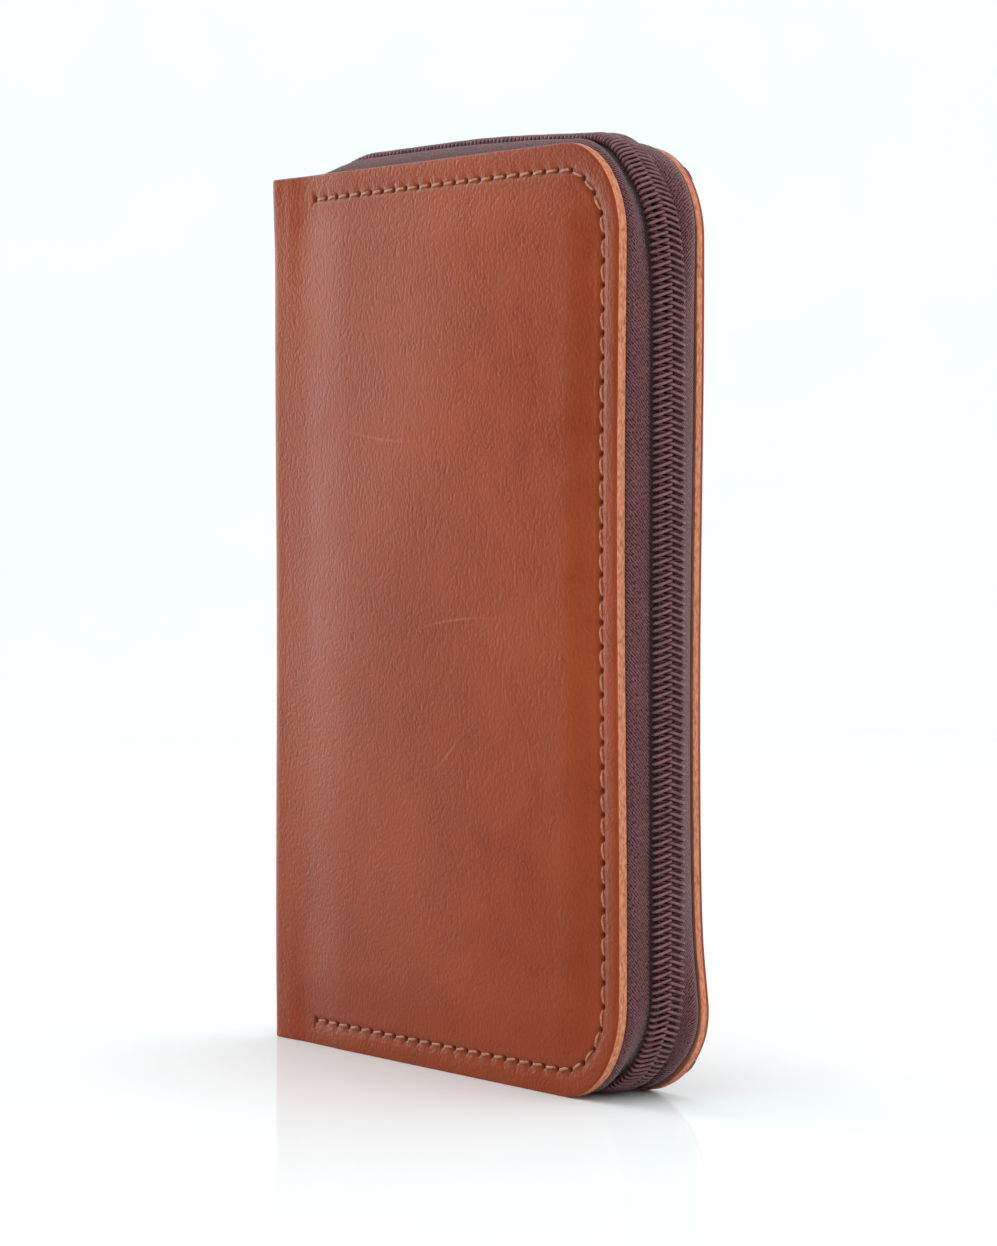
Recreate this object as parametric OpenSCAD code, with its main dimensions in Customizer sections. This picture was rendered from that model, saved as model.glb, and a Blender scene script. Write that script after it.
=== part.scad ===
// Zip-around passport holder: two leather covers that open about a spine, and a coil zip on three sides.
// The closed holder stands on its bottom edges. X runs from the spine to the fore-edge, Y through the
// thickness with the front cover towards -Y, and Z up. The back half mirrors the front half in Y.

/* [Covers] */
// Height of the leather covers
cover_h = 148; // [120:1:180]
// Width of the leather, from the outside of the spine to the fore-edge
cover_w = 104; // [98:1:130]
// Room between the two linings when the holder is closed
inside_t = 9.9; // [9.6:0.1:16]
// Thickness of the cover leather
leather_t = 1.8; // [1.2:0.1:2.4]
// Corner radius of the covers at the fore-edge
corner_r = 15; // [10:1:22]
// Outside radius of the two folds between the spine and the covers
spine_r = 5; // [4:0.5:6]
// Gap between the spine's leather and each cover's leather, where they fold
fold_gap = 0.3; // [0.25:0.05:0.6]

/* [Stitching] */
// Distance from the leather's edge to the middle of the row of stitches
stitch_inset = 4.2; // [3.5:0.1:6]
// Distance from the outside of the spine to the first stitch
stitch_start = 14; // [10:1:24]
// Width of the pressed groove that the thread lies in
groove_w = 0.8; // [0.6:0.1:1.2]
// Depth of the pressed groove
groove_d = 0.4; // [0.3:0.1:0.6]

/* [Layers] */
// Thickness of the foam under the leather, and of the zip tape sewn in beside it
pad_t = 0.5; // [0.4:0.1:0.8]
// Thickness of the stiffening board
board_t = 0.5; // [0.4:0.1:1]
// Thickness of the lining
lining_t = 0.5; // [0.3:0.1:0.8]
// Distance from the leather's edge to the lining's turned edge
lining_inset = 1.5; // [1.2:0.1:3]
// Width of the lining's turned edge
turn_w = 9; // [6:0.5:12]

/* [Pockets] */
// Distance from the leather's top and bottom edges to the pockets
pocket_inset_z = 9; // [9:0.5:14]
// Distance from the leather's fore-edge to the pockets
pocket_inset_x = 4; // [3:0.5:10]
// Thickness of the pocket leather
pocket_t = 0.5; // [0.3:0.1:0.6]
// Number of card slots
card_slots = 3; // [1:1:3]
// Height of a card lying on its side
card_h = 54; // [50:1:60]
// How much each card slot stands above the one in front of it
slot_step = 12; // [8:1:16]
// Width of the sleeve that holds the passport's back cover
sleeve_w = 62; // [40:1:70]
// Room inside the sleeve
sleeve_room = 0.8; // [0.5:0.1:1.2]
// Width of the seam round the sleeve
sleeve_seam = 3; // [2:0.5:5]

/* [Zip] */
// How far the zip chain stands out of the covers at the fore-edge
zip_proud = 3; // [1:0.25:4]
// How far the zip chain stands out of the covers at the top
zip_proud_top = 3.5; // [1:0.25:4]
// How far the bottom of the chain climbs between the covers, from the corner to the spine
zip_rise = 4.6; // [4:0.1:6]
// How far the top of the chain dives between the covers beside the spine
zip_dip = 3.5; // [3:0.5:10]
// Length along the top in which the chain dives
dip_run = 24; // [8:1:30]
// Distance from the outside of the spine to the ends of the zip tapes
zip_start = 8; // [7:0.5:12]
// Width of the closed zip chain
coil_w = 5.8; // [4.4:0.1:6]
// Height of the zip chain above its tapes
coil_t = 1.9; // [1.4:0.1:2]
// Gap between the two halves of the chain, which the slider's neck passes through
coil_gap = 1; // [0.9:0.1:1.4]
// Thickness of the zip tapes
tape_t = 0.5; // [0.3:0.05:0.6]
// Depth of the zip tape under the leather
seam_w = 11; // [8:0.5:14]
// Length of the metal stops at the ends of the chain
stop_l = 2.5; // [2:0.5:4]

/* [Slider and pull] */
// Length of the slider
slider_l = 9; // [8:0.5:12]
// Thickness of the slider's plates
plate_t = 1; // [0.8:0.1:1.2]
// Thickness of the slider's side walls
flange_t = 0.85; // [0.7:0.05:0.9]
// Thickness of the slider's neck
neck_t = 0.5; // [0.4:0.05:0.5]
// Length of the pull from its pin to its end
pull_l = 22; // [16:1:24]
// Width of the pull
pull_w = 5; // [4.5:0.5:7]
// Thickness of the pull
pull_t = 1; // [0.8:0.1:1.2]
// Radius of the hole in the pull
pull_hole_r = 1.3; // [1:0.1:1.5]
// Radius of the pin that the pull turns on
pin_r = 0.5; // [0.4:0.05:0.5]

/* [Clearances] */
// Running clearance round the slider's channel
zip_clear = 0.25; // [0.2:0.05:0.3]
// Running clearance of the pull on its pin, and of the pin in the slider's lugs
pin_clear = 0.05; // [0.03:0.01:0.1]
// Side clearance of the pull between the slider's lugs
lug_clear = 0.2; // [0.15:0.05:0.3]
// Distance of the chain's lowest point above the covers' bottom edges
floor_clear = 0.15; // [0.1:0.05:0.5]

/* [Hidden] */
$fn = 64;

leather_col = [0.59, 0.32, 0.21];
thread_col = [0.72, 0.48, 0.36];
tape_col = [0.37, 0.25, 0.26];
coil_col = [0.45, 0.35, 0.36];
lining_col = [0.34, 0.22, 0.17];
foam_col = [0.85, 0.83, 0.78];
board_col = [0.62, 0.56, 0.48];
metal_col = [0.52, 0.46, 0.38];

// Depths, as distances from the middle plane of the closed holder
y_lining = inside_t / 2;
y_board = y_lining + lining_t;
y_pad = y_board + board_t;
y_leather = y_pad + pad_t;
half_t = y_leather + leather_t;

// Widths: the spine's outside, the leather's fore-edge and the chain's crest
x_spine = -(cover_w + zip_proud) / 2;
x_edge = x_spine + cover_w;
x_crest = x_edge + zip_proud;
x_panel = x_spine + spine_r + fold_gap;

// The chain's crest line: round corners, a straight climb along the bottom and a dive at the top
zip_r = corner_r + zip_proud;
z_crest = cover_h + zip_proud_top;
zip_x = x_spine + zip_start;
edge_centre_top = [x_edge - corner_r, cover_h - corner_r];
edge_centre_low = [x_edge - corner_r, corner_r];
crest_centre_top = [x_crest - zip_r, z_crest - zip_r];
crest_centre_low = [x_crest - zip_r, zip_r + floor_clear];
rise_deg = atan(zip_rise / (crest_centre_low[0] - zip_x));
rise_foot = crest_centre_low + zip_r * aim(-90 - rise_deg);
dip_steps = 10;
corner_steps = 10;

// The zip tape's bends: under the leather, over the lining's turned edge, and under the coil
y_flange = y_leather - tape_t / 2;
tape_wall_gap = 0.05;
y_wall = y_lining - tape_wall_gap - tape_t / 2;
tape_gap = 0.8;
flange_end = 0.9;
wall_top = 0.45;
coil_bevel = 0.4;
coil_lift = 0.03;
stop_wall = 0.2;

// The slider rests against the stops at the spine end of the bottom run
stop_gap = 0.7;
slider_rest_gap = 0.3;
slider_x = zip_x + stop_l + stop_gap + slider_rest_gap + slider_l / 2;
slider_w = coil_w + 2 * (zip_clear + flange_t);
slider_corner = 1.2;
flange_drop = coil_t - 0.4;
channel_h = coil_t + tape_t + 2 * zip_clear;
neck_l = 3;
lug_r = 1;
lug_t = 0.7;
pin_x = -2;
pin_z = zip_clear + plate_t + lug_r + 0.1;
eye_w = 2.2;
lug_y = eye_w / 2 + lug_clear;
pull_neck_l = 3.5;
pull_end = 2.5;
front_coil_gap = 1;

function aim(a) = [cos(a), sin(a)];
function unit(v) = v / norm(v);
function left_of(v) = [-v[1], v[0]];
function dip(x) = zip_dip * (1 + cos(180 * min(1, max(0, (x - zip_x) / dip_run)))) / 2;
function rise_point(x) = [x, rise_foot[1] + (rise_foot[0] - x) * tan(rise_deg)];

// Stations along the zip: [point on the leather's edge, its direction outwards, crest point, its direction]
function stations(x_top, x_low) = concat(
    [for (k = [0:dip_steps]) let (x = x_top + k * (zip_x + dip_run - x_top) / dip_steps)
        [[x, cover_h], 90, [x, z_crest - dip(x)], 90]],
    [for (k = [0:corner_steps]) let (a = 90 - 90 * k / corner_steps)
        [edge_centre_top + corner_r * aim(a), a, crest_centre_top + zip_r * aim(a), a]],
    [for (k = [0:corner_steps]) let (a = -90 * k / corner_steps, b = -(90 + rise_deg) * k / corner_steps)
        [edge_centre_low + corner_r * aim(a), a, crest_centre_low + zip_r * aim(b), b]],
    [[[x_low, 0], -90, rise_point(x_low), -90 - rise_deg]]);

// How far the crest stands out of the leather's edge at a station
function stand_out(s) = (s[2] - s[0]) * aim(s[1]);

// A section point [y, out] at a station, from the leather's edge or from the crest
function from_edge(s, q) = let (p = s[0] + aim(s[1]) * q[1]) [p[0], q[0], p[1]];
function from_crest(s, q) = let (p = s[2] + aim(s[3]) * q[1]) [p[0], q[0], p[1]];

// One point of a line moved sideways by d, with mitred corners
function beside(line, i, d) = let (last = len(line) - 1,
    before = left_of(unit(line[max(i, 1)] - line[max(i, 1) - 1])),
    after = left_of(unit(line[min(i, last - 1) + 1] - line[min(i, last - 1)])))
    line[i] + d * (before + after) / (1 + before * after);

// The front tape's middle line: sewn in at the left, bent over the lining, flat under the coil
function tape_line(s) = let (out = stand_out(s) - coil_t - tape_t / 2)
    [[-y_flange, -seam_w], [-y_flange, -flange_end], [-y_wall, -wall_top], [-y_wall, out],
        [-tape_gap / 2, out]];
function tape_point(s, i, d) = let (q = beside(tape_line(s), i, d))
    i < 3 ? from_edge(s, q) : from_crest(s, [q[0], q[1] - stand_out(s)]);
function tape_ring(s) = concat([for (i = [0:4]) tape_point(s, i, tape_t / 2)],
    [for (i = [4:-1:0]) tape_point(s, i, -tape_t / 2)]);
function coil_ring(s) = [for (q = [[-coil_w / 2, -coil_bevel], [-coil_w / 2 + coil_bevel, 0],
    [-coil_gap / 2 - coil_bevel, 0], [-coil_gap / 2, -coil_bevel], [-coil_gap / 2, coil_lift - coil_t],
    [-coil_gap / 2 - coil_bevel, coil_lift - coil_t], [-coil_w / 2 + coil_bevel, coil_lift - coil_t],
    [-coil_w / 2, coil_lift - coil_t]]) from_crest(s, q)];

// A strip swept through rings, whose points run along one side and back along the other
module sweep(rings) {
    m = len(rings[0]);
    last = (len(rings) - 1) * m;
    sides = [for (i = [0:len(rings) - 2], j = [0:m - 1])
        [i * m + j, i * m + (j + 1) % m, (i + 1) * m + (j + 1) % m, (i + 1) * m + j]];
    first_cap = [for (j = [0:m / 2 - 2]) [m - 1 - j, m - 2 - j, j + 1, j]];
    last_cap = [for (j = [0:m / 2 - 2]) [last + j, last + j + 1, last + m - 2 - j, last + m - 1 - j]];
    polyhedron(points = [for (r = rings, p = r) p], faces = concat(sides, first_cap, last_cap));
}

// A flat outline with its two fore-edge corners rounded
module outline(x1, x2, z1, z2, r) {
    translate([x1, z1]) square([x2 - r - x1, z2 - z1]);
    translate([x1, z1 + r]) square([x2 - x1, z2 - z1 - 2 * r]);
    for (z = [z1 + r, z2 - r]) translate([x2 - r, z]) circle(r);
}

module cover_outline(inset, x1 = x_panel) {
    outline(x1, x_edge - inset, inset, cover_h - inset, corner_r - inset);
}

// A flat layer of the front cover, with its inner face at a depth from the middle plane
module layer(depth, thickness) {
    translate([0, -depth, 0]) rotate([90, 0, 0]) linear_extrude(thickness) children();
}

module back_half() {
    mirror([0, 1, 0]) children();
}

// The strip that the stitches follow, along the top, the fore-edge and the bottom
module stitch_line(width) {
    difference() {
        cover_outline(stitch_inset - width / 2, x_spine + stitch_start);
        cover_outline(stitch_inset + width / 2, x_spine + stitch_start - 1);
    }
}

module cover_leather() {
    difference() {
        layer(y_leather, leather_t) cover_outline(0);
        layer(half_t - groove_d, groove_d + 1) stitch_line(groove_w);
    }
}

module stitching() {
    thread_inset = 0.1;
    layer(half_t - groove_d, groove_d - thread_inset) stitch_line(groove_w - 2 * thread_inset);
}

module padding() {
    pad_gap = 0.3;
    layer(y_pad, pad_t) outline(x_panel + 1, x_edge - seam_w - pad_gap, seam_w + pad_gap,
        cover_h - seam_w - pad_gap, 4);
}

module board() {
    board_gap = 0.2;
    inset = lining_inset + turn_w + board_gap;
    layer(y_board, board_t) outline(x_panel + 1, x_edge - inset, inset, cover_h - inset, 5);
}

module lining() {
    layer(y_lining, lining_t) cover_outline(lining_inset);
    layer(y_board, board_t) difference() {
        cover_outline(lining_inset);
        cover_outline(lining_inset + turn_w, x_panel - 1);
    }
}

module zip_tape() {
    sweep([for (s = stations(zip_x, zip_x)) tape_ring(s)]);
}

module zip_coil(x_low) {
    sweep([for (s = stations(zip_x + stop_l + stop_gap, x_low)) coil_ring(s)]);
}

// The metal stops at both ends of the chain, each a block folded round the tape's edge
module zip_stops() {
    stop_h = coil_t + tape_t + 2 * stop_wall;
    stop_y = tape_gap / 2 - stop_wall;
    stop_w = coil_w / 2 - stop_y;
    x_stop = zip_x + stop_gap;
    difference() {
        union() {
            translate([x_stop, -stop_y - stop_w, z_crest - dip(x_stop) + stop_wall - stop_h])
                cube([stop_l, stop_w, stop_h]);
            at_zip(x_stop + stop_l / 2) translate([-stop_l / 2, stop_y, stop_wall - stop_h])
                cube([stop_l, stop_w, stop_h]);
        }
        zip_tape();
    }
}

// A pocket panel on the front cover's lining, the given number of layers in
module pocket_panel(layers, top) {
    layer(y_lining - layers * pocket_t, pocket_t)
        outline(x_panel + 2, x_edge - pocket_inset_x, pocket_inset_z, top, corner_r / 2);
}

module card_slot(n) {
    pocket_panel(n + 1, pocket_inset_z + card_h + 4 + (card_slots - n) * slot_step);
}

// The passport sleeve: a panel with seams on three sides and a thumb notch in its open side
module sleeve_outline(inset) {
    right = x_edge - pocket_inset_x;
    outline(right - sleeve_w, right - inset, pocket_inset_z + inset, cover_h - pocket_inset_z - inset,
        corner_r / 2 - inset / 2);
}

module sleeve() {
    notch_r = 12;
    difference() {
        union() {
            layer(y_lining - sleeve_room - pocket_t, pocket_t) sleeve_outline(0);
            layer(y_lining - sleeve_room, sleeve_room) difference() {
                sleeve_outline(0);
                translate([-1, 0]) sleeve_outline(sleeve_seam);
            }
        }
        translate([x_edge - pocket_inset_x - sleeve_w, 0, cover_h / 2]) rotate([90, 0, 0])
            cylinder(r = notch_r, h = half_t);
    }
}

// The spine's U-shaped section, drawn solid, with its outside moved in by inset
module spine_section(inset) {
    r = spine_r - inset;
    for (s = [-1, 1]) translate([x_spine + spine_r, s * (half_t - spine_r)]) circle(r);
    translate([x_spine + inset, spine_r - half_t]) square([r, 2 * (half_t - spine_r)]);
}

module spine_layer(inset, thickness, x_end, z1, z2) {
    translate([0, 0, z1]) linear_extrude(z2 - z1) difference() {
        spine_section(inset);
        spine_section(inset + thickness);
        translate([x_end, -half_t - 1]) square([2 * spine_r, 2 * half_t + 2]);
    }
}

// Puts its children on the chain's bottom run: local x runs down it, z points out of the holder
module at_zip(x) {
    translate([x, 0, rise_point(x)[1]]) rotate([0, rise_deg, 0]) rotate([180, 0, 0]) children();
}

module plate(z) {
    translate([0, 0, z]) linear_extrude(plate_t) {
        square([slider_l - 2 * slider_corner, slider_w], center = true);
        square([slider_l, slider_w - 2 * slider_corner], center = true);
        for (x = [-1, 1], y = [-1, 1])
            translate([x * (slider_l / 2 - slider_corner), y * (slider_w / 2 - slider_corner)])
                circle(slider_corner);
    }
}

module lug(y) {
    translate([pin_x, y, pin_z]) rotate([-90, 0, 0]) cylinder(r = lug_r, h = lug_t);
    translate([pin_x - lug_r, y, zip_clear + plate_t / 2])
        cube([2 * lug_r, lug_t, pin_z - zip_clear - plate_t / 2]);
}

module front_cover_leather() color(leather_col) cover_leather();
module front_stitching() color(thread_col) stitching();
module front_padding() color(foam_col) padding();
module front_board() color(board_col) board();
module front_lining() color(lining_col) lining();
module front_zip_tape() color(tape_col) zip_tape();
module front_zip_coil() color(coil_col) zip_coil(slider_x + slider_l / 2 + front_coil_gap);
module front_zip_stops() color(metal_col) back_half() zip_stops_back();
module slip_pocket() color(leather_col) pocket_panel(1, cover_h - pocket_inset_z);
module card_slot_1() color(leather_col) card_slot(1);
module card_slot_2() color(leather_col) card_slot(2);
module card_slot_3() color(leather_col) card_slot(3);
module back_cover_leather() color(leather_col) back_half() cover_leather();
module back_stitching() color(thread_col) back_half() stitching();
module back_padding() color(foam_col) back_half() padding();
module back_board() color(board_col) back_half() board();
module back_lining() color(lining_col) back_half() lining();
module back_zip_tape() color(tape_col) back_half() zip_tape();
module back_zip_coil() color(coil_col) back_half() zip_coil(zip_x + stop_l + stop_gap);
module back_zip_stops() color(metal_col) zip_stops_back();
module passport_sleeve() color(leather_col) back_half() sleeve();

module zip_stops_back() {
    back_half() zip_stops();
}

module spine_leather() color(leather_col)
    spine_layer(0, leather_t, x_spine + spine_r, 0, cover_h);

module spine_lining() color(lining_col)
    spine_layer(leather_t, lining_t, x_spine + spine_r - fold_gap, lining_inset, cover_h - lining_inset);

module slider_body() color(metal_col) at_zip(slider_x) {
    difference() {
        union() {
            plate(zip_clear);
            plate(zip_clear - channel_h - plate_t);
            for (y = [-slider_w / 2, slider_w / 2 - flange_t])
                translate([slider_corner - slider_l / 2, y, -flange_drop])
                    cube([slider_l - 2 * slider_corner, flange_t, flange_drop + zip_clear + plate_t / 2]);
            translate([-slider_l / 2 + 0.5, -neck_t / 2, zip_clear - channel_h - plate_t / 2])
                cube([neck_l, neck_t, channel_h + plate_t]);
            for (y = [lug_y, -lug_y - lug_t]) lug(y);
        }
        translate([pin_x, 0, pin_z]) rotate([90, 0, 0])
            cylinder(r = pin_r + pin_clear / 5, h = slider_w, center = true);
    }
}

module slider_pin() color(metal_col) at_zip(slider_x)
    translate([pin_x, 0, pin_z]) rotate([90, 0, 0])
        cylinder(r = pin_r, h = 2 * (lug_y + lug_t), center = true);

module pull_tab() color(metal_col) at_zip(slider_x) translate([pin_x, 0, pin_z]) difference() {
    union() {
        rotate([90, 0, 0]) cylinder(r = lug_r, h = eye_w, center = true);
        translate([0, -eye_w / 2, -pull_t / 2]) cube([pull_neck_l + 1, eye_w, pull_t]);
        translate([pull_neck_l, -pull_w / 2, -pull_t / 2])
            cube([pull_l - pull_neck_l - pull_end, pull_w, pull_t]);
        translate([pull_l - pull_end, 0, -pull_t / 2]) cylinder(r = pull_w / 2, h = pull_t);
    }
    rotate([90, 0, 0]) cylinder(r = pin_r + pin_clear, h = eye_w + 1, center = true);
    translate([pull_l - pull_end, 0, -pull_t]) cylinder(r = pull_hole_r, h = 2 * pull_t);
}

front_cover_leather();
front_stitching();
front_padding();
front_board();
front_lining();
front_zip_tape();
front_zip_coil();
front_zip_stops();
slip_pocket();
card_slot_1();
card_slot_2();
card_slot_3();
back_cover_leather();
back_stitching();
back_padding();
back_board();
back_lining();
back_zip_tape();
back_zip_coil();
back_zip_stops();
passport_sleeve();
spine_leather();
spine_lining();
slider_body();
slider_pin();
pull_tab();
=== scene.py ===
# %% [markdown]
# # A zip-around passport holder
#
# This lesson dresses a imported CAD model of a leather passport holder. The frame gives the solids, their
# bodies and joints; the lesson adds what a maker would see and touch: waxed leather with raw edges, thread
# in a pressed groove, woven zip tapes, the zip's nylon coil, cloth linings, thin leather pockets and
# metal parts. All sizes are metres in the frame's own axes: X from spine to fore-edge, Y from the front
# cover to the back cover, and Z up.

# %% Load the frame
import math
import random

import bpy
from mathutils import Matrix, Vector


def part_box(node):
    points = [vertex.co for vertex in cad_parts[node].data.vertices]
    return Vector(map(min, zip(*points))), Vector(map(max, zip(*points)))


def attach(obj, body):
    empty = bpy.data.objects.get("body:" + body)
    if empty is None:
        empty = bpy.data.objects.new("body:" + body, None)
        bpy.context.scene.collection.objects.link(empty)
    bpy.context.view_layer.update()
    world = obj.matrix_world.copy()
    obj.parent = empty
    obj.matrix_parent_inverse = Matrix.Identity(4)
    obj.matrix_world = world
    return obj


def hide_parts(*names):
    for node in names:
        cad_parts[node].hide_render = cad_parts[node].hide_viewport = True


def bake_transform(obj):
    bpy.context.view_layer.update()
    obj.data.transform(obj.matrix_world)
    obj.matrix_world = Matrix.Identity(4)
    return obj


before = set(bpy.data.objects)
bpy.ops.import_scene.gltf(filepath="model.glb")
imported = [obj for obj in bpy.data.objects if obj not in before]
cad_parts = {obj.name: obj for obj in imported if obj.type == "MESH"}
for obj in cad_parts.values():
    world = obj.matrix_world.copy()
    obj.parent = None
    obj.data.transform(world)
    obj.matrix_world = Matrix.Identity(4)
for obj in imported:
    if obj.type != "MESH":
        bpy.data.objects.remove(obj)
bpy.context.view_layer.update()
MM = 0.001

# %% [markdown]
# ## Sizes taken from the frame
#
# The covers, the spine and the zip are read from the frame, so that every new piece lands on its CAD
# solid. The few numbers that a box can't tell, such as the fold radius, are named here once.

# %% Driving sizes
front_low, front_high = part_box("front_cover_leather")
SPINE_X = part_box("spine_leather")[0].x
EDGE_X = front_high.x
HEIGHT = front_high.z
HALF_T = -front_low.y
LEATHER_T = front_high.y - front_low.y
CREST_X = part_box("back_zip_coil")[1].x
CREST_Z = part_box("back_zip_coil")[1].z
TAPE_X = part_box("back_zip_tape")[0].x
CORNER_R = 15 * MM
SPINE_R = 5 * MM
STITCH_INSET = 4.2 * MM
STITCH_START = 14 * MM
STITCH_PITCH = 3.7 * MM
ZIP_RISE = 4.6 * MM
ZIP_DIP = 2.4 * MM
DIP_RUN = 16 * MM
FLOOR_CLEAR = 0.15 * MM
COIL_PITCH = 1.13 * MM
COIL_TOP = TAPE_X + 3.2 * MM
print("holder", round(EDGE_X - SPINE_X, 4), "wide,", round(2 * HALF_T, 4), "thick,",
      round(HEIGHT, 4), "tall")

# %% [markdown]
# ## Helpers for modelling by hand
#
# An operator acts on everything that is selected, so each helper first clears the selection. `add_grid`
# makes a plane of quads and puts each of its vertices where a rule says, which is how a flat sheet
# of leather or tape is laid along its path. Faces or edges are marked in code and then edited, and
# `modify` adds a modifier and applies it.

# %% Selection, grids and modifiers
def pick(*objects):
    bpy.ops.object.select_all(action="DESELECT")
    for o in objects:
        o.select_set(True)
    bpy.context.view_layer.objects.active = objects[0]


def add_grid(name, across, along, rule):
    bpy.ops.object.select_all(action="DESELECT")
    bpy.ops.mesh.primitive_grid_add(x_subdivisions=across, y_subdivisions=along, size=1, location=(0, 0, 0))
    sheet = bpy.context.active_object
    sheet.name = name
    for v in sheet.data.vertices:
        v.co = rule(v.co.x + 0.5, v.co.y + 0.5)
    return sheet


def clear_marks(obj):
    """Leaves nothing selected in obj's mesh."""
    for element in (*obj.data.vertices, *obj.data.edges, *obj.data.polygons):
        element.select = False


def edit_marked(obj, mode):
    """Opens edit mode on obj's marked faces or edges."""
    bpy.context.tool_settings.mesh_select_mode = (False, mode == "EDGE", mode == "FACE")
    pick(obj)
    bpy.ops.object.mode_set(mode="EDIT")


def modify(obj, kind, **settings):
    pick(obj)
    bpy.ops.object.modifier_add(type=kind)
    modifier = obj.modifiers[-1]
    for key, value in settings.items():
        setattr(modifier, key, value)
    bpy.ops.object.modifier_apply(modifier=modifier.name)


def edit_all(obj, operator, **settings):
    """Runs a mesh operator on the whole of obj."""
    pick(obj)
    bpy.ops.object.mode_set(mode="EDIT")
    bpy.ops.mesh.select_all(action="SELECT")
    operator(**settings)
    bpy.ops.object.mode_set(mode="OBJECT")


def copy_of(obj):
    """A copy of obj with its own mesh."""
    twin = obj.copy()
    twin.data = obj.data.copy()
    bpy.context.collection.objects.link(twin)
    return twin


def face_towards(obj, outwards):
    """Turns the faces so that most of them look along outwards(point)."""
    total = sum(f.normal.dot(outwards(f.center)) * f.area for f in obj.data.polygons)
    if total < 0:
        edit_all(obj, bpy.ops.mesh.flip_normals)


def smooth(obj, angle):
    pick(obj)
    bpy.ops.object.shade_smooth_by_angle(angle=math.radians(angle))


def dress(obj, *materials):
    obj.data.materials.clear()
    for material in materials:
        obj.data.materials.append(material)


def ease(t):
    t = min(1.0, max(0.0, t))
    return t * t * (3 - 2 * t)

# %% [markdown]
# ## Shader groups shared by the materials
#
# Grain, weave and rubbed scratches are each a node group with named inputs. A group gives out only a mask
# or a height, and the Principled BSDF stays in the material.

# %% Node helpers
def new_group(name, inputs, outputs):
    """A node group. A number makes a value input, a triple a vector one, and every output is a value."""
    group = bpy.data.node_groups.new(name, "ShaderNodeTree")
    for label, value in inputs.items():
        kind = "NodeSocketVector" if isinstance(value, tuple) else "NodeSocketFloat"
        socket = group.interface.new_socket(name=label, in_out="INPUT", socket_type=kind)
        socket.default_value = value
    for label in outputs:
        group.interface.new_socket(name=label, in_out="OUTPUT", socket_type="NodeSocketFloat")
    return group, group.nodes.new("NodeGroupInput"), group.nodes.new("NodeGroupOutput")


def add(tree, kind, links=None, **settings):
    """Adds a node: settings are its properties, links are its inputs by name or number."""
    node = tree.nodes.new(kind)
    for key, value in settings.items():
        setattr(node, key, value)
    for key, value in (links or {}).items():
        if isinstance(value, bpy.types.NodeSocket):
            tree.links.new(value, node.inputs[key])
        else:
            node.inputs[key].default_value = value
    return node


def mix(tree, factor, first, second, blend="MIX"):
    """Mixes two colours: sockets, or plain (r, g, b) for the second."""
    second = second if isinstance(second, bpy.types.NodeSocket) else (*second, 1)
    return add(tree, "ShaderNodeMix", {"Factor": factor, 6: first, 7: second}, data_type="RGBA",
               blend_type=blend).outputs[2]


def ramp(tree, factor, stops):
    node = add(tree, "ShaderNodeValToRGB", {0: factor})
    while len(node.color_ramp.elements) < len(stops):
        node.color_ramp.elements.new(0.5)
    for element, (place, colour) in zip(node.color_ramp.elements, stops):
        element.position = place
        element.color = (*colour, 1)
    return node.outputs["Color"]


def noise(tree, place, scale, detail, **more):
    links = {"Vector": place, "Scale": scale, "Detail": detail, **more}
    return add(tree, "ShaderNodeTexNoise", links).outputs["Fac"]


def map_range(tree, value, low, high, to_low=0.0, to_high=1.0, **settings):
    links = {"Value": value, "From Min": low, "From Max": high, "To Min": to_low, "To Max": to_high}
    return add(tree, "ShaderNodeMapRange", links, **settings).outputs[0]


def math_node(tree, operation, *values):
    return add(tree, "ShaderNodeMath", dict(enumerate(values)), operation=operation).outputs[0]


def times(tree, first, second):
    return math_node(tree, "MULTIPLY", first, second)


def linear(r, g, b):
    """A colour given as it looks on a screen, 0 to 255, as the light values that Blender uses."""
    return tuple((c / 255 / 12.92) if c <= 10 else ((c / 255 + 0.055) / 1.055) ** 2.4 for c in (r, g, b))


# %% Grain of leather
def make_grain_group():
    group, into, out = new_group(
        "Leather grain",
        {"Vector": (0, 0, 0), "Pebble size": 900.0},
        ["Height", "Pores"],
    )
    cells = add(group, "ShaderNodeTexVoronoi", {"Vector": into.outputs[0], "Scale": into.outputs[1],
                                                "Smoothness": 0.35}, feature="SMOOTH_F1")
    far = times(group, cells.outputs["Distance"], cells.outputs["Distance"])
    pebbles = math_node(group, "SUBTRACT", 1.0, times(group, far, 2.0))
    fine = noise(group, into.outputs[0], 2600.0, 2.0)
    group.links.new(math_node(group, "MULTIPLY_ADD", fine, 0.5, pebbles), out.inputs["Height"])
    group.links.new(noise(group, into.outputs[0], 1500.0, 1.0), out.inputs["Pores"])
    return group


# %% Twill of woven cloth
def make_twill_group():
    group, into, out = new_group(
        "Twill weave",
        {"Vector": (0, 0, 0), "Ribs per metre": 2200.0},
        ["Height"],
    )
    turned = add(group, "ShaderNodeMapping", {"Vector": into.outputs[0],
                                              "Rotation": (0, 0, math.radians(58))})
    scaled = add(group, "ShaderNodeVectorMath", {0: turned.outputs[0]}, operation="SCALE")
    group.links.new(into.outputs[1], scaled.inputs["Scale"])
    split = add(group, "ShaderNodeSeparateXYZ", {0: scaled.outputs[0]})
    ribs = math_node(group, "SINE", times(group, split.outputs[0], 2 * math.pi))
    yarns = math_node(group, "SINE", times(group, split.outputs[1], 2 * math.pi))
    height = math_node(group, "MULTIPLY_ADD", times(group, yarns, ribs), 0.8, ribs)
    fuzz = noise(group, into.outputs[0], 5200.0, 2.0)
    group.links.new(math_node(group, "MULTIPLY_ADD", fuzz, 0.9, height), out.inputs["Height"])
    return group


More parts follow.
